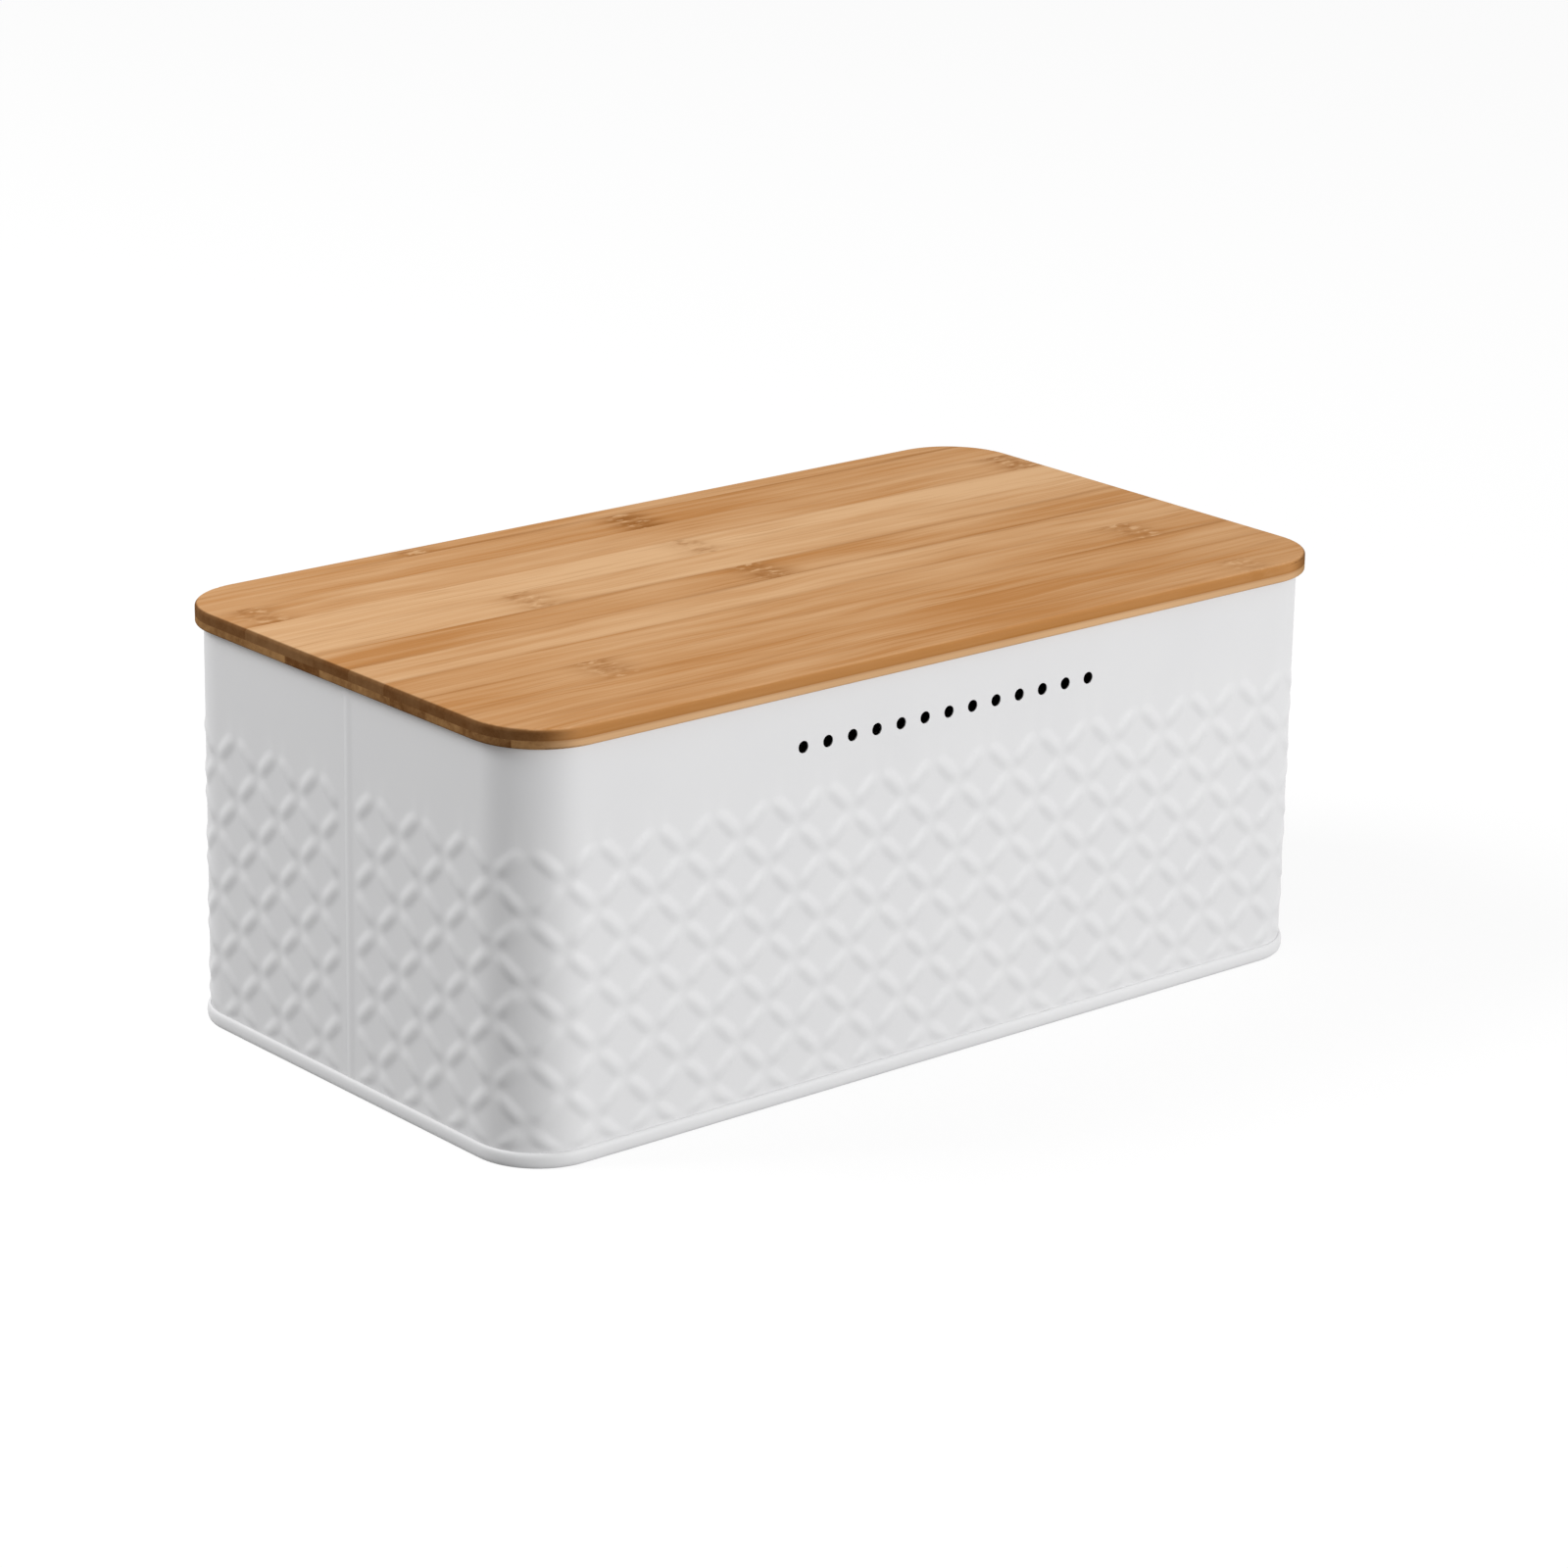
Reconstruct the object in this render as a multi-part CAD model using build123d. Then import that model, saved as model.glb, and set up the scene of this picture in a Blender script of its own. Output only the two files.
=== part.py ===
"""Bread box: a case of two lock-seamed steel sheets on a seamed-in base, with a lift-off bamboo lid.

Millimetres, +Z up. The origin is on the table under the middle of the box.
X runs along the length, and the vented front faces -Y.
"""
import os

from build123d import *

# Overall sizes
lid_length = 340
lid_width = 188
lid_corner_radius = 25
overall_height = 140

# Bamboo lid: two plies of strips that run along the length
top_ply_thickness = 3.6
bottom_ply_thickness = 2.8
top_edge_round = 1.2
bottom_edge_round = 0.8
lid_overhang = 2.75
strip_width = 18.3
narrowest_strip = 6
top_ply_joint_y = 11.9
bottom_ply_joint_y = 8.8

# Groove under the lid that drops over the rim of the case
rim_groove_depth = 1.8
rim_groove_clearance = 0.9

# Steel sheet and the way it is folded
sheet = 0.35
fold_gap = 0.05
fold_depth = 0.9
fold_round = 0.8
hem_height = 6
hem_round = 0.3

# Lock seams in the middle of both ends
lock_seam_width = 5.5

# Double seam that joins the walls to the base, and the stamped base panel
bead_height = 5
bead_inner_round = 0.4
panel_recess = 2.6
panel_field_rise = 1
panel_field_margin = 14
panel_field_corner_radius = 12

# Vent holes in the front
vent_count = 13
vent_pitch = 10
vent_diameter = 4
vent_drop_from_rim = 19.6

# Sizes that follow from the driving ones
layer = sheet + fold_gap
wall_length = lid_length - 2 * lid_overhang
wall_width = lid_width - 2 * lid_overhang
wall_corner_radius = lid_corner_radius - lid_overhang
lid_top = overall_height
ply_joint_height = lid_top - top_ply_thickness
lid_underside = ply_joint_height - bottom_ply_thickness
rim_top = lid_underside + rim_groove_depth
rim_thickness = layer + sheet
lock_seam_low = bead_height + fold_gap
lock_seam_high = rim_top - hem_height - fold_gap


def outline(inset, length=wall_length, width=wall_width, radius=wall_corner_radius):
    """Rounded rectangle, set in from the outer face of the walls."""
    return RectangleRounded(length - 2 * inset, width - 2 * inset, radius - inset)


def raised(face, z_low, z_high):
    """Upright prism of a face between two heights."""
    return Pos(0, 0, z_low) * extrude(face, z_high - z_low)


def ring(inset_outside, inset_inside, z_low, z_high):
    """Upright band that follows the walls."""
    return raised(outline(inset_outside) - outline(inset_inside), z_low, z_high)


def layers(first, last, z_low, z_high):
    """Band of sheet layers. Layer 0 is the wall itself, and the count runs inwards."""
    return ring(first * layer, last * layer + sheet, z_low, z_high)


def end_face(solid, highest):
    """Highest or lowest flat face of a solid."""
    faces = solid.faces().sort_by(Axis.Z)
    return faces[-1] if highest else faces[0]


def rounded_band(band, highest, outer_round, inner_round):
    """Band with both edges of its top or bottom face rounded."""
    face = end_face(band, highest)
    band = fillet(face.outer_wire().edges(), outer_round)
    if inner_round:
        band = fillet(end_face(band, highest).inner_wires()[0].edges(), inner_round)
    return band


def wall_band():
    """Both wall sheets in one: the hemmed rim, the wall, and the hook that the base is rolled round."""
    turn_low = fold_depth + fold_gap
    turn_high = turn_low + fold_depth
    hook_high = bead_height - fold_depth - fold_gap
    rim_fold = layers(0, 1, rim_top - fold_depth, rim_top)
    rim_fold = rounded_band(rim_fold, True, hem_round, hem_round)
    wall = layers(0, 0, turn_low, rim_top - fold_depth)
    hem = layers(1, 1, rim_top - hem_height, rim_top - fold_depth)
    turn = layers(-2, 0, turn_low, turn_high)
    hook = layers(-2, -2, turn_low, hook_high)
    return wall + rim_fold + hem + turn + hook


def half_space(front_y, rear_y):
    """Block that takes in the whole box between two planes across it."""
    block = Box(lid_length, rear_y - front_y, overall_height, align=(Align.CENTER, Align.MIN, Align.MIN))
    return Pos(0, front_y, 0) * block


def seam_block(end, first, last, front_y, rear_y, rounded_side=0):
    """Upright bar of the lock seam on one end, over some of its layers.

    On the rounded side, -1 for the front and 1 for the rear, the outermost edge is a bend of the sheet.
    """
    depth = (last - first) * layer + sheet
    height = lock_seam_high - lock_seam_low
    bar = Box(depth, rear_y - front_y, height, align=(Align.MIN, Align.MIN, Align.MIN))
    if rounded_side:
        side = bar.faces().sort_by(Axis.Y)[-1 if rounded_side > 0 else 0]
        outer_edge = side.edges().filter_by(Axis.Z).sort_by(Axis.X)[0]
        bar = fillet(outer_edge, fold_round)
    bar = Pos(first * layer - wall_length / 2, front_y, lock_seam_low) * bar
    return bar if end < 0 else mirror(bar, about=Plane.YZ)


def bent_edge(wall, end, last, front_y, rear_y, rounded_side):
    """Wall whose square upright edge is made into the bend that turns in to a deeper layer."""
    square_edge = seam_block(end, 0, 0, front_y, rear_y)
    bend = seam_block(end, 0, last, front_y, rear_y, rounded_side)
    return wall - square_edge + bend


def vent_holes():
    """Row of round holes, centred on the front."""
    row_length = vent_pitch * (vent_count - 1)
    height = rim_top - vent_drop_from_rim
    hole = Rot(X=90) * Cylinder(vent_diameter / 2, vent_diameter)
    places = [vent_pitch * number - row_length / 2 for number in range(vent_count)]
    return [Pos(x, -wall_width / 2, height) * hole for x in places]


def front_wall():
    """Front sheet. At both ends it folds back into the lock seam from the outside."""
    hook_end = fold_depth + fold_gap - lock_seam_width
    wall = wall_band() & half_space(-lid_width / 2, 0)
    for end in (-1, 1):
        wall = bent_edge(wall, end, 2, -fold_depth, 0, rounded_side=1)
        wall += seam_block(end, 2, 2, hook_end, -fold_depth)
    for hole in vent_holes():
        wall -= hole
    return wall


def rear_wall():
    """Rear sheet. At both ends it steps behind the front sheet and hooks into its fold."""
    joint = fold_gap
    hook_turn = -lock_seam_width
    hook_end = -fold_depth - fold_gap
    wall = wall_band() & half_space(joint, lid_width / 2)
    for end in (-1, 1):
        wall = bent_edge(wall, end, 3, joint, joint + fold_depth, rounded_side=-1)
        wall += seam_block(end, 3, 3, hook_turn, joint)
        wall += seam_block(end, 1, 3, hook_turn, hook_turn + fold_depth)
        wall += seam_block(end, 1, 1, hook_turn + fold_depth, hook_end)
    return wall


def base_pan():
    """Stamped base: a panel clear of the table, and a flange rolled round the hooks of the walls."""
    foot = rounded_band(layers(-3, 1, 0, fold_depth), False, fold_round, bead_inner_round)
    outer_wall = layers(-3, -3, fold_depth, bead_height - fold_depth)
    top_fold = rounded_band(layers(-3, -1, bead_height - fold_depth, bead_height), True, fold_round, 0)
    hook = layers(-1, -1, 2 * (fold_depth + fold_gap), bead_height - fold_depth)
    inner_wall = layers(1, 1, fold_depth, panel_recess + sheet)
    return foot + outer_wall + top_fold + hook + inner_wall + base_panel()


def base_panel():
    """Panel of the base: a margin along the walls, and a field stamped up to stiffen it."""
    field_length = wall_length - 2 * panel_field_margin
    field_width = wall_width - 2 * panel_field_margin
    field_sizes = (field_length, field_width, panel_field_corner_radius)
    field_low = panel_recess + panel_field_rise
    margin = raised(outline(layer) - outline(sheet, *field_sizes), panel_recess, panel_recess + sheet)
    step = raised(outline(0, *field_sizes) - outline(sheet, *field_sizes), panel_recess, field_low + sheet)
    field = raised(outline(0, *field_sizes), field_low, field_low + sheet)
    return margin + step + field


def ply(z_low, z_high, highest, edge_round):
    """One ply of the lid as a whole board, with its outer edge eased."""
    face = outline(0, lid_length, lid_width, lid_corner_radius)
    board = raised(face, z_low, z_high)
    return fillet(end_face(board, highest).outer_wire().edges(), edge_round)


def strip_joints(joint_y):
    """Places of the glue joints across the lid, from front to rear, in step with one known joint."""
    reach = lid_width / 2 - narrowest_strip
    steps_to_front = int((reach + joint_y) // strip_width)
    steps_to_rear = int((reach - joint_y) // strip_width)
    return [joint_y + strip_width * step for step in range(-steps_to_front, steps_to_rear + 1)]


def strips(board, joint_y):
    """Strips of one ply, from front to rear."""
    edges = [-lid_width / 2, *strip_joints(joint_y), lid_width / 2]
    return [board & half_space(front, rear) for front, rear in zip(edges, edges[1:])]


def top_ply_strips():
    """Strips that show on top of the lid."""
    board = ply(ply_joint_height, lid_top, True, top_edge_round)
    return strips(board, top_ply_joint_y)


def bottom_ply_strips():
    """Strips of the underside, with the groove that takes the rim."""
    board = ply(lid_underside, ply_joint_height, False, bottom_edge_round)
    groove = ring(-rim_groove_clearance, rim_thickness + rim_groove_clearance, lid_underside, rim_top)
    return strips(board - groove, bottom_ply_joint_y)


def named_pieces():
    """Every piece of the box by name."""
    pieces = {"front_wall": front_wall(), "rear_wall": rear_wall(), "base_pan": base_pan()}
    for number, strip in enumerate(top_ply_strips(), 1):
        pieces[f"lid_top_strip_{number:02d}"] = strip
    for number, strip in enumerate(bottom_ply_strips(), 1):
        pieces[f"lid_bottom_strip_{number:02d}"] = strip
    return pieces


os.makedirs("parts", exist_ok=True)
for name, piece in named_pieces().items():
    export_step(piece, f"parts/{name}.step")
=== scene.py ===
"""Looks of the bread box: a white coated steel case with an embossed lattice, and a laminated bamboo lid.

Metres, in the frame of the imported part: +Z is up, and the vented front faces -Y.
"""
import math

import bmesh
import bpy
import numpy as np
from mathutils import Matrix, Vector

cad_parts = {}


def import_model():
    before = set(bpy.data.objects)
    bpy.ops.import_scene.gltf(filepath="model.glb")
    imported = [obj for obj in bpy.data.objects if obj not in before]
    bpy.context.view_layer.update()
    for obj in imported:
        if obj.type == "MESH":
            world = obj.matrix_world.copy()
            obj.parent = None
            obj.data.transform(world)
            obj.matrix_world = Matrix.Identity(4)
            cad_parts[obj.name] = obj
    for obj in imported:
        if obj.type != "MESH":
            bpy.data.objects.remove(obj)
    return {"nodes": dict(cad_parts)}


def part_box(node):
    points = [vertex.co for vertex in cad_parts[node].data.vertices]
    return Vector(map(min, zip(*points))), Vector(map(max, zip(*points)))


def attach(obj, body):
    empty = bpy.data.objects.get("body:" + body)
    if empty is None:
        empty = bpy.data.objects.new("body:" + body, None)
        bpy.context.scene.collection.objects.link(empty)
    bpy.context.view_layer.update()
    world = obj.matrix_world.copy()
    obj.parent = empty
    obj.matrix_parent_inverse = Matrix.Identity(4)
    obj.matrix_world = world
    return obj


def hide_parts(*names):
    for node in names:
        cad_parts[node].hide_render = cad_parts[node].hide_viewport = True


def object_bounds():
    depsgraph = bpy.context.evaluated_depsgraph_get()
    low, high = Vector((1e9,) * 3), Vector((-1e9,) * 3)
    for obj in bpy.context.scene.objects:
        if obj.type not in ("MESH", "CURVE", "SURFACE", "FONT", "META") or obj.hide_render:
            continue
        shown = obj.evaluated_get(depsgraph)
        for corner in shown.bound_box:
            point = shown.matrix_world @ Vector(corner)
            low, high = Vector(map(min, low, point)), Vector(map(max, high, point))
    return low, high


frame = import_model()
cad_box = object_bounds()

MM = 0.001

# Walls of the case
lid_overhang = 2.75 * MM
wall_corner_radius = 22.25 * MM
sheet = 0.35 * MM
fold_gap = 0.05 * MM
hem_height = 6.0 * MM
wall_foot = 2.0 * MM
rim_steps = 6
plain_steps = 3
sharp_fold_angle = math.radians(40)

# Lock seams in the middle of both ends
seam_round = 0.1 * MM
seam_width = 5.5 * MM
seam_ease = 0.3 * MM
seam_crest_rise = 0.22 * MM
seam_crest_place = 1.6 * MM
seam_crest_end = 4.5 * MM
seam_edge_share = 0.4
seam_crest_steps = 12

# Emboss: raised petals along the lines of a diamond lattice
lattice_pitch = 22.35 * MM
front_end_pitch = 23.21 * MM
rear_end_pitch = 22.5 * MM
front_first_node = 4.7 * MM
rear_first_node = 2.2 * MM
last_node_margin = 2.0 * MM
top_node_height = 102.6 * MM
petal_length = 12.8 * MM
petal_width = 7.2 * MM
petal_height = 0.62 * MM
petal_bluntness = 3.9
emboss_fade_low = 5.2 * MM
emboss_fade_high = 7.5 * MM
steps_per_pitch = 20

# Vent holes in the front
vent_count = 13
vent_pitch = 10.0 * MM
vent_diameter = 4.0 * MM
vent_drop_from_rim = 19.6 * MM
vent_sides = 40

# Rolled bead and stamped panel of the base
bead_bulge = 1.2 * MM
bead_turn = math.radians(86)
bead_roundness = 0.85
bead_steps = 16
foot_round = 0.4 * MM
panel_recess = 2.6 * MM
panel_round = 0.3 * MM
panel_field_rise = 1.0 * MM
panel_field_margin = 14.0 * MM
panel_field_corner_radius = 12.0 * MM
panel_step_width = 2.0 * MM
round_steps = 6
corner_steps = 18

# Range in which a noise swings, and strength of the bumps
noise_range = (0.3, 0.7)
bump_strength = 0.5

# Powder coat
coat_low = (0.78, 0.78, 0.79, 1)
coat_high = (0.82, 0.82, 0.825, 1)
coat_shine = 0.42
coat_roughness = (0.45, 0.53)
coat_peel = 0.02 * MM
coat_peel_waves = (900, 900, 900)
coat_drift_waves = (28, 28, 28)

# Bamboo strips, from front to rear: how pale each one is, and its knuckles with their places and dark shares
top_pale_shares = (0.30, 0.26, 0.32, 0.42, 0.55, 0.34, 0.80, 0.86, 0.40, 0.27, 0.45)
top_knuckles = {
    1: [(134 * MM, 0.2)],
    3: [(-106 * MM, 0.4)],
    4: [(134 * MM, 0.3)],
    6: [(2 * MM, 0.6)],
    7: [(-79 * MM, 0.3)],
    8: [(3 * MM, 0.2)],
    9: [(-158 * MM, 0.4), (162 * MM, 0.6)],
    10: [(6 * MM, 1.0)],
    11: [(-76 * MM, 0.4)],
}
under_pale_shares = (0.85, 0.45, 0.45, 0.40, 0.60, 0.60, 0.15, 0.65, 0.55, 0.60, 0.50)
top_joint_shares = (0.20, 0.20, 0.60, 0.40, 0.52, 0.38, 0.15, 0.20, 0.28, 0.60)
under_joint_share = 0.5

# Bamboo: its colours, how far the edges take theirs, and its marks
bamboo_brown = (0.552, 0.252, 0.084, 1)
bamboo_pale = (0.787, 0.488, 0.260, 1)
bamboo_dark = (0.35, 0.138, 0.034, 1)
bamboo_end_dark = (0.11, 0.042, 0.012, 1)
bamboo_end_pale = (0.36, 0.19, 0.070, 1)
top_edges = {"edge": (0.48, 0.21, 0.058, 1), "end_pale_share": 0.3}
under_edges = {"edge": (0.71, 0.44, 0.235, 1), "end_pale_share": 1.0}
long_edge_share = 0.75
end_grain_share = 0.92
glue_line_width = 2.6 * MM
glue_line_wobble = 2.4 * MM
ply_glue_width = 1.0 * MM
ply_glue_share = 0.4
knuckle_core = 1.5 * MM
knuckle_reach = 9.0 * MM
knuckle_halo = 16.0 * MM
grain_waver = 7.0 * MM
fibre_relief = 0.03 * MM
bamboo_shine = 0.015
bamboo_roughness = (0.70, 0.85)
fibre_swing = 0.6
streak_swing = 1.05
drift_swing = 1.3
pore_range = (0.56, 0.72)
pore_share = 0.2
glue_stretch_range = (0.38, 0.65)
glue_stretch_shares = (0.05, 1.0)
halo_range = (0.3, 0.6)
halo_shares = (0.2, 1.0)
dark_fleck_range = (0.50, 0.66)
dark_fleck_shares = (0.05, 0.3)
pale_fleck_range = (0.46, 0.34)
pale_fleck_share = 0.7
long_edge_range = (0.4, 0.9)
end_grain_range = (0.1, 0.7)

# Waves of the bamboo's patterns to a metre, along the strip, across it and through it
fibre_waves = (20, 1400, 1400)
pore_waves = (26, 700, 700)
streak_waves = (13, 330, 330)
drift_waves = (10, 45, 45)
line_waves = (9, 60, 60)
wobble_waves = (30, 60, 60)
fleck_waves = (200, 400, 400)
waver_waves = (14, 25, 25)
strip_seed_steps = (7.3, 3.1, 5.7)

# Camera, fitted to the photograph
camera_azimuth = math.radians(-40.5134)
camera_elevation = math.radians(18.2226)
camera_roll = math.radians(-1.0138)
camera_distance = 1.6926
camera_right = 7.91 * MM
camera_up = 64.69 * MM
camera_sensor = 36.0
image_pixels = 1600
focal_pixels = 5173.07

# Studio
floor_radius = 9.0
floor_sides = 96
floor_colour = (0.2, 0.2, 0.2, 1)
floor_white_strength = 0.84
ambient_strength = 0.5
key_light = {"azimuth": 17, "elevation": 9, "distance": 2.2, "size": 0.7, "power": 26.7}
side_light = {"azimuth": -129, "elevation": 42, "distance": 2.2, "size": 1.0, "power": 25.4}

# Sizes that follow from the frame
half_length = cad_box[1].x - lid_overhang
half_width = cad_box[1].y - lid_overhang
rim_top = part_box("rear_wall")[1].z
ply_joint_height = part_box("lid_top_strip_01")[0].z
bead_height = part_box("base_pan")[1].z
layer = sheet + fold_gap
rim_thickness = layer + sheet
seam_low = bead_height + fold_gap
seam_high = rim_top - hem_height - fold_gap
straight_end = half_width - wall_corner_radius
straight_long = 2 * (half_length - wall_corner_radius)
corner_arc = wall_corner_radius * math.pi / 2
sheet_length = 2 * (straight_end + corner_arc) + straight_long
half_pitch = lattice_pitch / 2


# Meshes

def new_piece(name, mesh, body, slot, *nodes):
    """Object of a mesh that stands for CAD nodes and moves with a body."""
    piece = bpy.data.objects.new(name, mesh)
    bpy.context.scene.collection.objects.link(piece)
    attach(piece, body)
    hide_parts(*nodes)
    return piece


def scratch_object(mesh):
    """Object that only lives until its modifiers are applied."""
    scratch = bpy.data.objects.new("scratch", mesh)
    bpy.context.scene.collection.objects.link(scratch)
    return scratch


def applied(scratch):
    """Mesh of a scratch object with its modifiers applied."""
    graph = bpy.context.evaluated_depsgraph_get()
    mesh = bpy.data.meshes.new_from_object(scratch.evaluated_get(graph))
    bpy.data.objects.remove(scratch)
    return mesh


def thickened(mesh):
    """Closed steel sheet behind an open skin."""
    scratch = scratch_object(mesh)
    solidify = scratch.modifiers.new("thickness", "SOLIDIFY")
    solidify.thickness = sheet
    solidify.offset = -1
    solidify.use_even_offset = True
    return applied(scratch)


def pierced(mesh, cutter):
    """Mesh with the closed forms of another one cut out of it."""
    scratch = scratch_object(mesh)
    tool = scratch_object(cutter)
    boolean = scratch.modifiers.new("holes", "BOOLEAN")
    boolean.operation = "DIFFERENCE"
    boolean.solver = "EXACT"
    boolean.object = tool
    mesh = applied(scratch)
    bpy.data.objects.remove(tool)
    return mesh


def skin_mesh(name, points, faces):
    """Mesh of points and faces, without the points that no face uses."""
    mesh = bpy.data.meshes.new(name)
    mesh.from_pydata(points, [], faces)
    form = bmesh.new()
    form.from_mesh(mesh)
    loose = [vertex for vertex in form.verts if not vertex.link_faces]
    bmesh.ops.delete(form, geom=loose, context="VERTS")
    form.to_mesh(mesh)
    form.free()
    return mesh


def smooth(mesh):
    """Smooth shading that breaks at sharp folds."""
    mesh.shade_smooth()
    mesh.set_sharp_from_angle(angle=sharp_fold_angle)
    return mesh


# Walls of the case

def wall_places(along, inset, side):
    """Points of a wall sheet, from the way along it from the left seam and the inset from its outer face.

    The side is -1 for the front sheet and 1 for the rear one.
    """
    knots = np.cumsum([0, straight_end, corner_arc, straight_long, corner_arc, straight_end])
    centre_x = half_length - wall_corner_radius
    centre_y = half_width - wall_corner_radius
    turn = np.interp(along, knots, np.radians([0, 0, 90, 90, 180, 180]))
    x = np.interp(along, knots, [-centre_x, -centre_x, -centre_x, centre_x, centre_x, centre_x])
    y = np.interp(along, knots, [0, centre_y, centre_y, centre_y, centre_y, 0])
    past_seam = np.minimum(along, 0) + np.minimum(sheet_length - along, 0)
    reach = wall_corner_radius - inset
    return x - reach * np.cos(turn), side * (y + past_seam + reach * np.sin(turn))


def lattice_phases(along, first_node, end_pitch):
    """Count of lattice pitches from the first node, at a way along a sheet."""
    end = straight_end + corner_arc
    knots = np.cumsum([0, end, straight_long, end])
    steps = [-first_node / end_pitch, end / end_pitch, straight_long / lattice_pitch, end / end_pitch]
    return np.interp(along, knots, np.cumsum(steps))


def lattice_ways(first_node, end_pitch):
    """Ways along a sheet of the grid lines of the emboss, from its first node to its last."""
    ways = np.linspace(0, sheet_length, round(sheet_length / sheet))
    phases = lattice_phases(ways, first_node, end_pitch)
    last_phase = lattice_phases(sheet_length - last_node_margin, first_node, end_pitch)
    last_node = math.floor(2 * last_phase) / 2
    grid = np.arange(round(last_node * steps_per_pitch) + 1) / steps_per_pitch
    return np.interp(grid, phases, ways)


def lattice_cells(phases, heights):
    """Whether the petal of the lattice cell at a point rises, and the point's place in that cell.

    A cell is half a pitch wide and high and holds one petal along a diagonal. Places run from -0.5 to 0.5.
    """
    across = 2 * phases
    down = (top_node_height - heights) / half_pitch
    column = np.floor(across)
    row = np.floor(down)
    rising = (column + row) % 2 == 0
    return rising, across - column - 0.5, row - down + 0.5


def emboss(phases, heights):
    """Height of the emboss over the plain sheet."""
    rising, u, w = lattice_cells(phases, heights)
    u = np.where(rising, u, -u)
    lengthwise = np.abs(u + w) * half_pitch * math.sqrt(2) / petal_length
    crosswise = (u - w) * half_pitch * math.sqrt(2) / petal_width
    edge_share = np.sqrt(lengthwise ** petal_bluntness + crosswise ** 2)
    section = np.cos(np.minimum(edge_share, 1) * math.pi / 2) ** 2
    fade = np.clip((heights - emboss_fade_low) / (emboss_fade_high - emboss_fade_low), 0, 1)
    return petal_height * section * fade


def seam_columns(tucks):
    """Ways along and insets of the columns at a seam: the tuck, the bend, and the crest beside the bend."""
    bend = np.radians(np.linspace(90, 0, round_steps))
    crest = np.linspace(seam_round, seam_crest_end, seam_crest_steps)[1:]
    ways = np.concatenate([[way for way, depth in tucks], seam_round * (1 - np.sin(bend)), crest])
    insets = np.concatenate([[depth for way, depth in tucks], seam_round * (1 - np.cos(bend)), 0 * crest])
    return ways, insets


def seam_crests(ways):
    """How far a sheet rises near both of its seams, as a share of the crest's rise."""
    from_seam = np.minimum(ways, sheet_length - ways)
    climb = np.clip(from_seam / seam_crest_place, 0, 1)
    fall = np.clip((from_seam - seam_crest_place) / (seam_crest_end - seam_crest_place), 0, 1)
    back = seam_edge_share + (1 - seam_edge_share) * np.sin(climb * math.pi / 2) ** 2
    return back * np.cos(fall * math.pi / 2) ** 2


def sheet_columns(tucks, first_node, end_pitch):
    """Ways along and seam insets of all the columns of a wall sheet, from the left seam to the right one."""
    seam_ways, seam_insets = seam_columns(tucks)
    grid = lattice_ways(first_node, end_pitch)
    left = seam_ways < grid[0]
    right = seam_ways < sheet_length - grid[-1]
    ways = np.concatenate([seam_ways[left], grid, sheet_length - seam_ways[right][::-1]])
    insets = np.concatenate([seam_insets[left], np.zeros(len(grid)), seam_insets[right][::-1]])
    return ways, insets


def sheet_rows():
    """Heights and insets of the rows of a wall sheet, up its outer face, round the rim and down the hem."""
    grid_rows = math.ceil((top_node_height - seam_low) * steps_per_pitch / lattice_pitch)
    grid = top_node_height - np.arange(grid_rows)[::-1] * lattice_pitch / steps_per_pitch
    plain = np.linspace(top_node_height, seam_high, plain_steps + 1)[1:]
    bend = np.radians(np.linspace(0, 180, rim_steps + 1))
    bend_radius = rim_thickness / 2
    bend_low = rim_top - bend_radius
    heights = np.concatenate([
        [wall_foot, seam_low - seam_ease, seam_low],
        grid,
        plain,
        [seam_high + seam_ease],
        bend_low + bend_radius * np.sin(bend),
        [rim_top - hem_height],
    ])
    insets = np.zeros(len(heights))
    insets[-len(bend) - 1:-1] = bend_radius * (1 - np.cos(bend))
    insets[-1] = rim_thickness
    return heights, insets


def sheet_faces(phases, heights, tuck_count, locked_rows, side):
    """Faces of a wall sheet. Along a petal the grid is cut into triangles that follow the petal's ridge."""
    columns = len(phases)
    faces = []
    for row in range(len(heights) - 1):
        rows_locked = locked_rows[row] and locked_rows[row + 1]
        middle = (heights[row] + heights[row + 1]) / 2
        for column in range(columns - 1):
            in_tuck = column < tuck_count or column >= columns - 1 - tuck_count
            if in_tuck and not rows_locked:
                continue
            low_left = row * columns + column
            corners = [low_left, low_left + 1, low_left + columns + 1, low_left + columns]
            rising = lattice_cells((phases[column] + phases[column + 1]) / 2, middle)[0]
            if not rising:
                corners = corners[1:] + corners[:1]
            if side > 0:
                corners = [corners[0], corners[3], corners[2], corners[1]]
            if rows_locked and not in_tuck and middle < top_node_height:
                faces.append([corners[0], corners[1], corners[2]])
                faces.append([corners[0], corners[2], corners[3]])
            else:
                faces.append(corners)
    return faces


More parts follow.
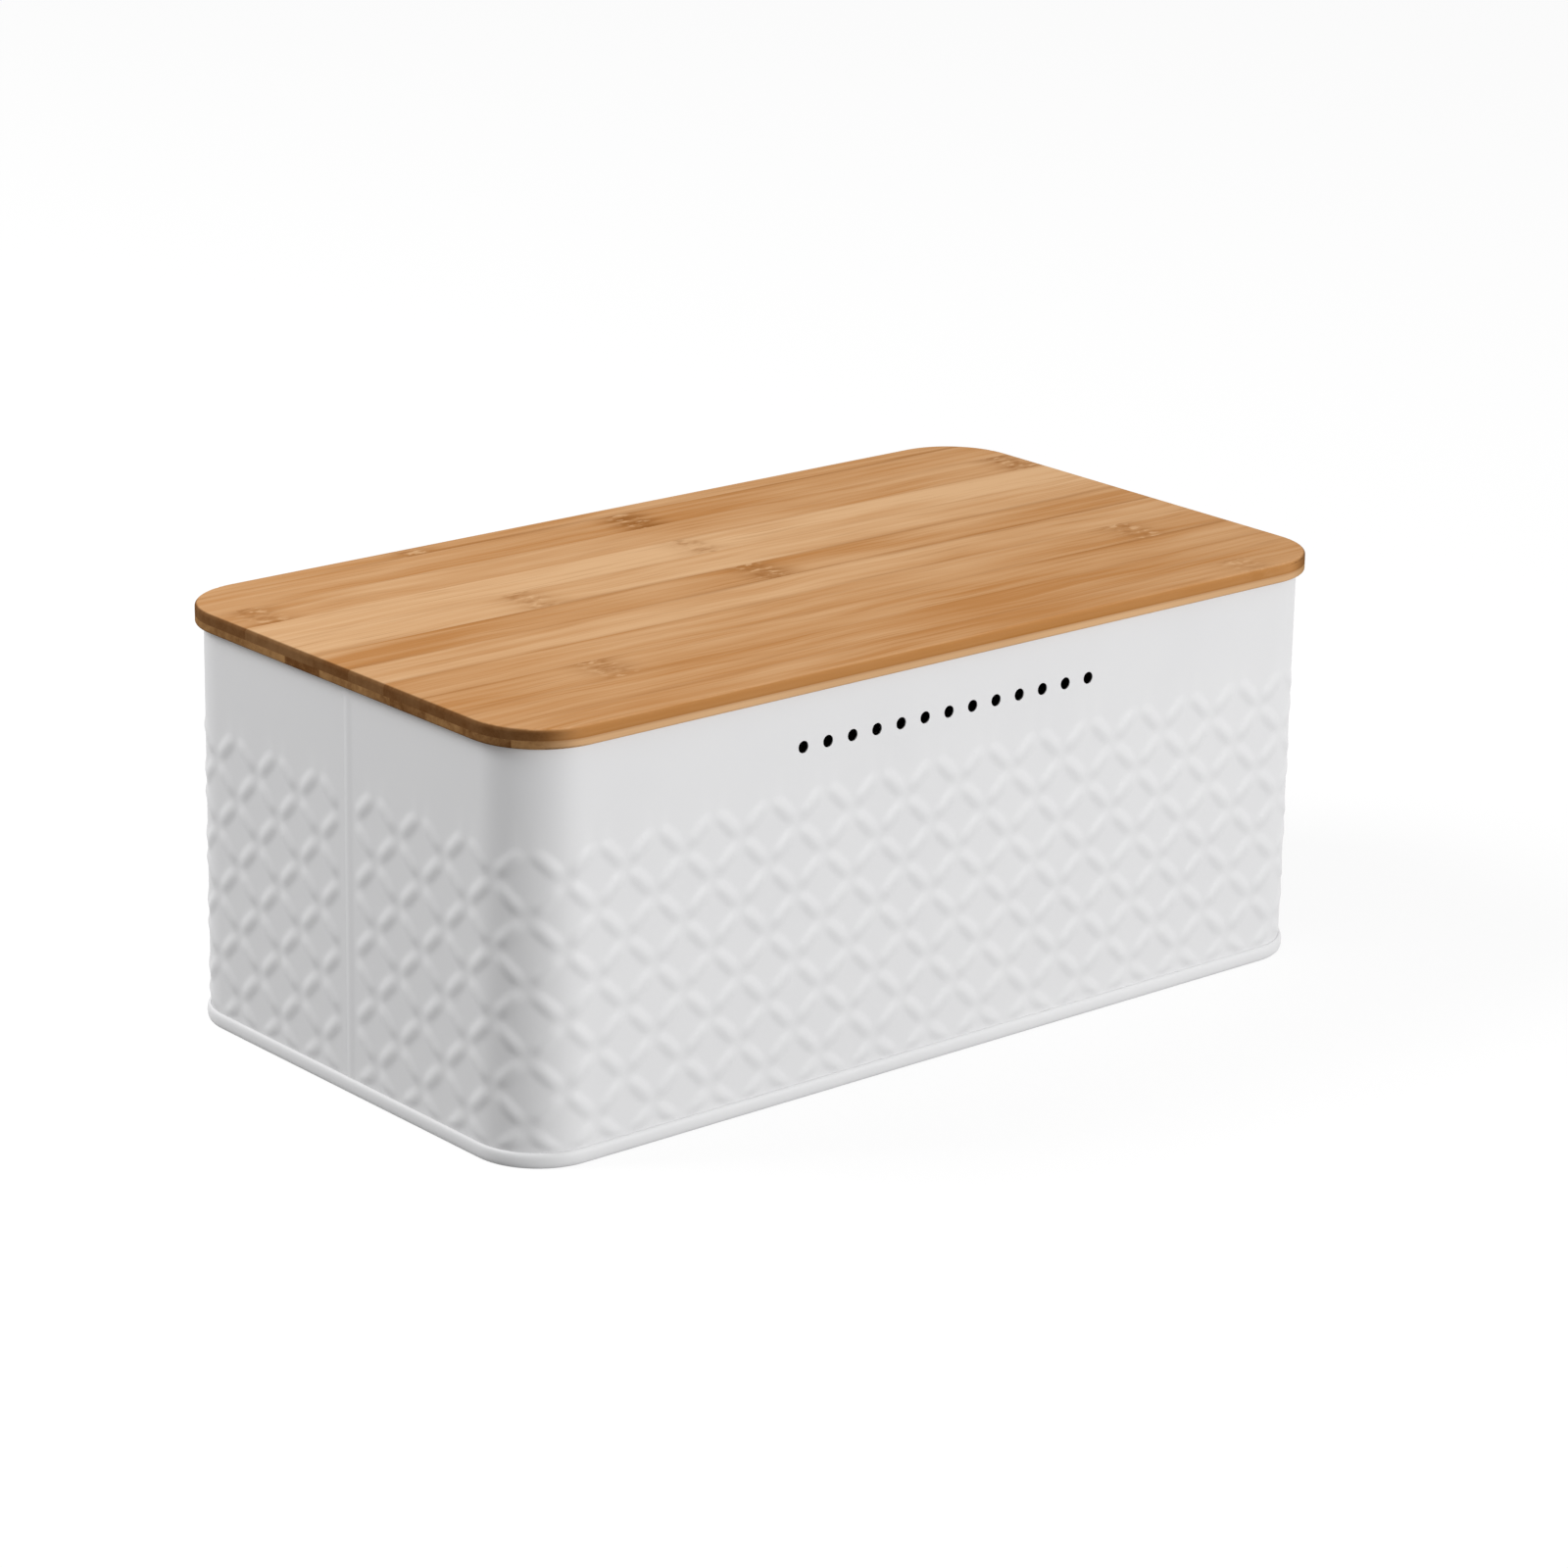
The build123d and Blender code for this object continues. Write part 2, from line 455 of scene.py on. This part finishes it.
def wall_sheet(name, side, tucks, first_node, end_pitch, crest_rise):
    """One embossed wall sheet with its hem and its seam bends, as a closed mesh."""
    ways, seam_insets = sheet_columns(tucks, first_node, end_pitch)
    heights, rim_insets = sheet_rows()
    phases = lattice_phases(ways, first_node, end_pitch)
    grid = lattice_ways(first_node, end_pitch)
    on_outside = np.arange(len(heights)) <= np.argmax(heights > seam_high)
    locked_rows = on_outside & (heights >= seam_low) & (heights <= seam_high)
    crested_rows = on_outside & (heights >= seam_low)
    embossed_columns = (ways >= grid[0]) & (ways <= grid[-1])
    points = []
    for height, rim_inset, outside, locked, crested in zip(
            heights, rim_insets, on_outside, locked_rows, crested_rows):
        inset = rim_inset + seam_insets * locked - crest_rise * seam_crests(ways) * crested
        if outside and height <= top_node_height:
            inset = inset - emboss(phases, height) * embossed_columns
        x, y = wall_places(ways, inset, side)
        points.extend(zip(x, y, np.full(len(x), height)))
    faces = sheet_faces(phases, heights, len(tucks), locked_rows, side)
    return thickened(skin_mesh(name, points, faces))


def vent_cutter():
    """Row of round bars that cut the vent holes."""
    form = bmesh.new()
    row_length = vent_pitch * (vent_count - 1)
    height = rim_top - vent_drop_from_rim
    lying = Matrix.Rotation(math.pi / 2, 4, "X")
    for number in range(vent_count):
        place = Matrix.Translation((vent_pitch * number - row_length / 2, -half_width, height))
        bmesh.ops.create_cone(
            form, cap_ends=True, segments=vent_sides, radius1=vent_diameter / 2, radius2=vent_diameter / 2,
            depth=vent_diameter, matrix=place @ lying)
    mesh = bpy.data.meshes.new("vent_cutter")
    form.to_mesh(mesh)
    form.free()
    return mesh


def front_wall_sheet():
    """Front sheet, which rises to a crest and folds inwards at both seams, with the vent holes."""
    fold_end = 2 * layer + sheet
    mesh = wall_sheet(
        "front_wall_sheet", -1, [(0, fold_end)], front_first_node, front_end_pitch, seam_crest_rise)
    mesh = smooth(pierced(mesh, vent_cutter()))
    return new_piece("front_wall_sheet", mesh, "case", "coated_steel", "front_wall")


def rear_wall_sheet():
    """Rear sheet, which steps inwards at both seams, runs on behind the front sheet and turns back to it."""
    step_end = 3 * layer
    flap_end = fold_gap - seam_width
    tucks = [(flap_end, layer), (flap_end, step_end), (fold_gap, step_end)]
    mesh = smooth(wall_sheet("rear_wall_sheet", 1, tucks, rear_first_node, rear_end_pitch, 0))
    return new_piece("rear_wall_sheet", mesh, "case", "coated_steel", "rear_wall")


# Base of the case

def bead_profile():
    """Insets and heights of the rolled bead, from where it meets the wall round to the foot."""
    angles = np.linspace(bead_turn, -bead_turn, bead_steps)
    middle = bead_height / 2
    bulge = np.cos(angles) ** bead_roundness
    rise = np.sign(np.sin(angles)) * np.abs(np.sin(angles)) ** bead_roundness
    return list(zip(-bead_bulge * bulge, middle + middle * rise))


def base_profile():
    """Insets and heights of the underside of the base, from the bead to the edge of the stamped field."""
    quarter = np.radians(np.linspace(0, 90, round_steps))
    profile = bead_profile()
    profile.append((0, 0))
    for angle in quarter:
        inset = rim_thickness - foot_round + foot_round * math.sin(angle)
        profile.append((inset, foot_round - foot_round * math.cos(angle)))
    for angle in quarter:
        inset = rim_thickness + panel_round - panel_round * math.cos(angle)
        profile.append((inset, panel_recess - panel_round + panel_round * math.sin(angle)))
    for share in np.linspace(0, 1, round_steps):
        inset = panel_field_margin + panel_step_width * (share - 0.5)
        rise = (1 - math.cos(math.pi * share)) / 2
        profile.append((inset, panel_recess + panel_field_rise * rise))
    return profile


def base_ring(inset, height):
    """Closed ring of points that follows the walls, at an inset and a height."""
    radius = max(wall_corner_radius - inset, panel_field_corner_radius)
    centre_x = half_length - inset - radius
    centre_y = half_width - inset - radius
    points = []
    for quadrant, (sign_x, sign_y) in enumerate([(1, 1), (-1, 1), (-1, -1), (1, -1)]):
        for step in range(corner_steps + 1):
            angle = math.radians(90) * (quadrant + step / corner_steps)
            x = sign_x * centre_x + radius * math.cos(angle)
            y = sign_y * centre_y + radius * math.sin(angle)
            points.append((x, y, height))
    return points


def base_pan():
    """Base: the rolled bead, the foot and the stamped panel, as a closed mesh."""
    rings = [base_ring(inset, height) for inset, height in base_profile()]
    count = len(rings[0])
    faces = []
    for ring in range(len(rings) - 1):
        for step in range(count):
            near = ring * count + step
            far = ring * count + (step + 1) % count
            faces.append([near, near + count, far + count, far])
    last_ring = (len(rings) - 1) * count
    faces.append([last_ring + step for step in reversed(range(count))])
    points = [point for ring in rings for point in ring]
    mesh = smooth(thickened(skin_mesh("base_pan_shell", points, faces)))
    return new_piece("base_pan_shell", mesh, "case", "coated_steel", "base_pan")


# Materials

class Shader:
    """Adds nodes to one material. Every call gives back the output socket of its node."""

    def __init__(self, name):
        self.material = bpy.data.materials.new(name)
        self.material.use_nodes = True
        self.tree = self.material.node_tree
        self.surface = self.tree.nodes["Principled BSDF"]

    def put(self, socket, value):
        """Links a socket to an output, or sets it to a number or a colour."""
        if isinstance(value, bpy.types.NodeSocket):
            self.tree.links.new(value, socket)
        else:
            socket.default_value = value

    def coordinates(self, kind):
        """Texture coordinates of a kind, such as Object or Normal."""
        return self.tree.nodes.new("ShaderNodeTexCoord").outputs[kind]

    def math(self, operation, *values):
        """Sum, product or other operation on numbers."""
        node = self.tree.nodes.new("ShaderNodeMath")
        node.operation = operation
        for socket, value in zip(node.inputs, values):
            self.put(socket, value)
        return node.outputs[0]

    def clipped(self, value):
        """Number kept between 0 and 1."""
        node = self.tree.nodes.new("ShaderNodeClamp")
        self.put(node.inputs[0], value)
        return node.outputs[0]

    def split(self, vector):
        """The three parts of a vector."""
        node = self.tree.nodes.new("ShaderNodeSeparateXYZ")
        self.put(node.inputs[0], vector)
        return node.outputs

    def placed(self, vector, scale, offset=(0, 0, 0)):
        """Vector times a scale on each axis, plus an offset."""
        node = self.tree.nodes.new("ShaderNodeVectorMath")
        node.operation = "MULTIPLY_ADD"
        self.put(node.inputs[0], vector)
        node.inputs[1].default_value = scale
        node.inputs[2].default_value = offset
        return node.outputs[0]

    def joined(self, *parts):
        """Vector of three parts."""
        node = self.tree.nodes.new("ShaderNodeCombineXYZ")
        for socket, part in zip(node.inputs, parts):
            self.put(socket, part)
        return node.outputs[0]

    def noise(self, vector, detail=2.0, roughness=0.5):
        """Smooth noise, one wave to each unit of the vector."""
        node = self.tree.nodes.new("ShaderNodeTexNoise")
        self.put(node.inputs["Vector"], vector)
        node.inputs["Scale"].default_value = 1.0
        node.inputs["Detail"].default_value = detail
        node.inputs["Roughness"].default_value = roughness
        return node.outputs["Fac"]

    def ramp(self, value, low, high, start=0.0, end=1.0):
        """Smooth step from start to end as a value goes from low to high."""
        node = self.tree.nodes.new("ShaderNodeMapRange")
        node.interpolation_type = "SMOOTHSTEP"
        self.put(node.inputs["Value"], value)
        node.inputs["From Min"].default_value = low
        node.inputs["From Max"].default_value = high
        node.inputs["To Min"].default_value = start
        node.inputs["To Max"].default_value = end
        return node.outputs["Result"]

    def mix(self, share, first, second, blend="MIX"):
        """Mix of two colours."""
        node = self.tree.nodes.new("ShaderNodeMix")
        node.data_type = "RGBA"
        node.blend_type = blend
        self.put(node.inputs[0], share)
        self.put(node.inputs[6], first)
        self.put(node.inputs[7], second)
        return node.outputs[2]

    def bump(self, height, distance):
        """Surface normal bent by a height."""
        node = self.tree.nodes.new("ShaderNodeBump")
        node.inputs["Strength"].default_value = bump_strength
        node.inputs["Distance"].default_value = distance
        self.put(node.inputs["Height"], height)
        return node.outputs["Normal"]


def powder_coat():
    """Satin white powder coat: a fine orange peel, with faint drifts in its tone and gloss."""
    shader = Shader("white_powder_coat")
    place = shader.coordinates("Object")
    peel = shader.noise(shader.placed(place, coat_peel_waves), detail=3.0)
    drift = shader.noise(shader.placed(place, coat_drift_waves), detail=2.0)
    shader.put(shader.surface.inputs["Base Color"], shader.mix(drift, coat_low, coat_high))
    shader.put(shader.surface.inputs["Specular IOR Level"], coat_shine)
    shader.put(shader.surface.inputs["Roughness"], shader.ramp(drift, *noise_range, *coat_roughness))
    shader.put(shader.surface.inputs["Normal"], shader.bump(peel, coat_peel))
    return shader.material


def bamboo(name, number, pale_share, joint_shares, knuckles, sides, edges):
    """Matt bamboo strip: long fibres, glue lines along its sides, knuckles across it and browned edges."""
    shader = Shader(name)
    place = shader.coordinates("Object")
    seed = tuple(number * step for step in strip_seed_steps)
    grain = wavering(shader, place, seed)
    fibres = shader.noise(shader.placed(grain, fibre_waves, seed), detail=2.0)
    pores = shader.noise(shader.placed(grain, pore_waves, seed), detail=2.0)
    streaks = shader.noise(shader.placed(grain, streak_waves, seed), detail=3.0)
    drift = shader.noise(shader.placed(grain, drift_waves, seed), detail=2.0)
    tone = pale_share
    for pattern, swing in ((fibres, fibre_swing), (streaks, streak_swing), (drift, drift_swing)):
        part = shader.math("MULTIPLY_ADD", pattern, swing, -swing / 2)
        tone = shader.math("ADD", part, tone)
    tone = shader.clipped(tone)
    colour = shader.mix(tone, bamboo_brown, bamboo_pale)
    colour = shader.mix(shader.ramp(pores, *pore_range, 0.0, pore_share), colour, bamboo_dark)
    colour = glue_lines(shader, colour, place, seed, sides, joint_shares)
    for knuckle, dark_share in knuckles:
        colour = knuckle_marks(shader, colour, place, seed, knuckle, dark_share)
    colour = browned_edges(shader, colour, place, tone, **edges)
    shader.put(shader.surface.inputs["Base Color"], colour)
    shader.put(shader.surface.inputs["Specular IOR Level"], bamboo_shine)
    shader.put(shader.surface.inputs["Roughness"], shader.ramp(fibres, *noise_range, *bamboo_roughness))
    shader.put(shader.surface.inputs["Normal"], shader.bump(fibres, fibre_relief))
    return shader.material


def wavering(shader, place, seed):
    """Places moved a little across the strip, so that the grain runs in slow waves."""
    x, y, z = shader.split(place)
    waver = shader.noise(shader.placed(place, waver_waves, seed))
    return shader.joined(x, shader.math("MULTIPLY_ADD", waver, grain_waver, y), z)


def glue_lines(shader, colour, place, seed, sides, joint_shares):
    """Colour with dark glue lines along both sides of a strip, wider and stronger in some stretches."""
    y = shader.split(place)[1]
    stretches = shader.noise(shader.placed(place, line_waves, seed))
    wobbles = shader.noise(shader.placed(place, wobble_waves, seed))
    strength = shader.ramp(stretches, *glue_stretch_range, *glue_stretch_shares)
    wobble = shader.math("MULTIPLY_ADD", wobbles, glue_line_wobble, -glue_line_wobble / 2)
    for side, share in zip(sides, joint_shares):
        away = shader.math("ABSOLUTE", shader.math("SUBTRACT", y, side))
        near = shader.ramp(shader.math("ADD", away, wobble), 0.0, glue_line_width, share, 0.0)
        line = shader.math("MULTIPLY", near, strength)
        colour = shader.mix(line, colour, bamboo_dark)
    return colour


def knuckle_marks(shader, colour, place, seed, knuckle, dark_share):
    """Colour with the flecks of a knuckle, and the dark that some knuckles have around them."""
    away = shader.math("ABSOLUTE", shader.math("SUBTRACT", shader.split(place)[0], knuckle))
    flecks = shader.noise(shader.placed(place, fleck_waves, seed), detail=2.0)
    streaks = shader.noise(shader.placed(place, streak_waves, seed), detail=3.0)
    halo = shader.ramp(away, 0.0, knuckle_halo, dark_share, 0.0)
    halo = shader.math("MULTIPLY", halo, shader.ramp(streaks, *halo_range, *halo_shares))
    band = shader.ramp(away, knuckle_core, knuckle_reach, 1.0, 0.0)
    faintest, darkest = dark_fleck_shares
    dark = shader.ramp(flecks, *dark_fleck_range, faintest, darkest + dark_share / 2)
    dark = shader.math("MULTIPLY", band, dark)
    pale = shader.math("MULTIPLY", band, shader.ramp(flecks, *pale_fleck_range, 0.0, pale_fleck_share))
    for share, tone in ((halo, bamboo_dark), (dark, bamboo_dark), (pale, bamboo_pale)):
        colour = shader.mix(share, colour, tone)
    return colour


def browned_edges(shader, colour, place, tone, edge, end_pale_share):
    """Colour that changes on the long edges, with the dark glue between the plies, and on the end grain."""
    facing_x, facing_y, _ = shader.split(shader.coordinates("Normal"))
    long_edge = shader.ramp(shader.math("ABSOLUTE", facing_y), *long_edge_range)
    end_grain = shader.ramp(shader.math("ABSOLUTE", facing_x), *end_grain_range, 0.0, end_grain_share)
    from_glue = shader.math("ABSOLUTE", shader.math("SUBTRACT", shader.split(place)[2], ply_joint_height))
    glue = shader.ramp(from_glue, 0.0, ply_glue_width, ply_glue_share, 0.0)
    long_colour = shader.mix(glue, shader.mix(long_edge_share, colour, edge), bamboo_dark)
    end_tone = shader.math("MULTIPLY", tone, end_pale_share)
    end_colour = shader.mix(end_tone, bamboo_end_dark, bamboo_end_pale)
    return shader.mix(end_grain, shader.mix(long_edge, colour, long_colour), end_colour)


def dress_lid():
    """Gives every strip of the lid a bamboo of its own."""
    joint_shares = (0, *top_joint_shares, 0)
    for number, pale_share in enumerate(top_pale_shares, 1):
        shares = joint_shares[number - 1:number + 1]
        knuckles = top_knuckles.get(number, [])
        dress_strip(f"lid_top_strip_{number:02d}", number, pale_share, shares, knuckles, top_edges)
    for number, pale_share in enumerate(under_pale_shares, 1):
        shares = (under_joint_share, under_joint_share)
        seed = number + len(top_pale_shares)
        dress_strip(f"lid_bottom_strip_{number:02d}", seed, pale_share, shares, [], under_edges)


def dress_strip(node, number, pale_share, joint_shares, knuckles, edges):
    """Gives one strip its bamboo, with the glue lines where its sides are."""
    low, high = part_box(node)
    sides = (low.y, high.y)
    material = bamboo(f"bamboo_{node}", number, pale_share, joint_shares, knuckles, sides, edges)
    strip = frame["nodes"][node]
    strip.data.materials.clear()
    strip.data.materials.append(material)


# Studio

def floor():
    """Wide pale floor, which the camera sees as white with the soft shadow of the box on it."""
    mesh = bpy.data.meshes.new("floor")
    form = bmesh.new()
    bmesh.ops.create_circle(form, cap_ends=True, segments=floor_sides, radius=floor_radius)
    form.to_mesh(mesh)
    form.free()
    stage = bpy.data.objects.new("floor", mesh)
    bpy.context.scene.collection.objects.link(stage)
    mesh.materials.append(floor_material())


def seen_directly(tree):
    """1 for rays that show the stage itself: from the camera, by reflection or through glass."""
    path = tree.nodes.new("ShaderNodeLightPath")
    either = tree.nodes.new("ShaderNodeMath")
    either.operation = "MAXIMUM"
    tree.links.new(path.outputs["Is Camera Ray"], either.inputs[0])
    tree.links.new(path.outputs["Is Glossy Ray"], either.inputs[1])
    any_ray = tree.nodes.new("ShaderNodeMath")
    any_ray.operation = "MAXIMUM"
    tree.links.new(either.outputs[0], any_ray.inputs[0])
    tree.links.new(path.outputs["Is Transmission Ray"], any_ray.inputs[1])
    return any_ray.outputs[0]


def floor_material():
    """Matt paper that glows where it is seen, so that it shows white around the shadow of the box."""
    material = bpy.data.materials.new("floor_paper")
    material.use_nodes = True
    tree = material.node_tree
    paper = tree.nodes["Principled BSDF"]
    paper.inputs["Base Color"].default_value = floor_colour
    paper.inputs["Roughness"].default_value = 1.0
    paper.inputs["Specular IOR Level"].default_value = 0.0
    paper.inputs["Emission Color"].default_value = (1, 1, 1, 1)
    strength = tree.nodes.new("ShaderNodeMapRange")
    strength.inputs["To Max"].default_value = floor_white_strength
    tree.links.new(seen_directly(tree), strength.inputs["Value"])
    tree.links.new(strength.outputs["Result"], paper.inputs["Emission Strength"])
    return material


def world():
    """Even light from all round, which the camera sees as white."""
    surroundings = bpy.data.worlds.new("studio")
    surroundings.use_nodes = True
    bpy.context.scene.world = surroundings
    tree = surroundings.node_tree
    background = tree.nodes["Background"]
    background.inputs["Color"].default_value = (1, 1, 1, 1)
    strength = tree.nodes.new("ShaderNodeMapRange")
    strength.inputs["To Min"].default_value = ambient_strength
    strength.inputs["To Max"].default_value = 1.0
    tree.links.new(seen_directly(tree), strength.inputs["Value"])
    tree.links.new(strength.outputs["Result"], background.inputs["Strength"])


def softbox(name, azimuth, elevation, distance, size, power):
    """Square soft light that looks at the middle of the box. Azimuth 0 is in front of it."""
    lamp = bpy.data.lights.new(name, "AREA")
    lamp.shape = "SQUARE"
    lamp.size = size
    lamp.energy = power
    light = bpy.data.objects.new(name, lamp)
    bpy.context.scene.collection.objects.link(light)
    turn = math.radians(azimuth)
    tilt = math.radians(elevation)
    away = Vector((math.sin(turn) * math.cos(tilt), -math.cos(turn) * math.cos(tilt), math.sin(tilt)))
    middle = Vector((0, 0, rim_top / 2))
    light.location = middle + away * distance
    light.rotation_euler = away.to_track_quat("Z", "Y").to_euler()


def camera():
    """Camera at the place and angle of the photograph."""
    back = Vector((
        math.sin(camera_azimuth) * math.cos(camera_elevation),
        -math.cos(camera_azimuth) * math.cos(camera_elevation),
        math.sin(camera_elevation)))
    right = Vector((math.cos(camera_azimuth), math.sin(camera_azimuth), 0))
    up = back.cross(right)
    place = back * camera_distance + right * camera_right + up * camera_up
    level = Matrix((right, up, back)).transposed().to_4x4()
    lens = bpy.data.cameras.new("camera")
    lens.sensor_width = camera_sensor
    lens.lens = camera_sensor * focal_pixels / image_pixels
    viewer = bpy.data.objects.new("camera", lens)
    bpy.context.scene.collection.objects.link(viewer)
    viewer.matrix_world = Matrix.Translation(place) @ level @ Matrix.Rotation(-camera_roll, 4, "Z")
    bpy.context.scene.camera = viewer


coat = powder_coat()
for piece in (front_wall_sheet(), rear_wall_sheet(), base_pan()):
    piece.data.materials.clear()
    piece.data.materials.append(coat)
dress_lid()

floor()
world()
softbox("key_light", **key_light)
softbox("side_light", **side_light)
camera()
bpy.context.scene.view_settings.view_transform = "Standard"
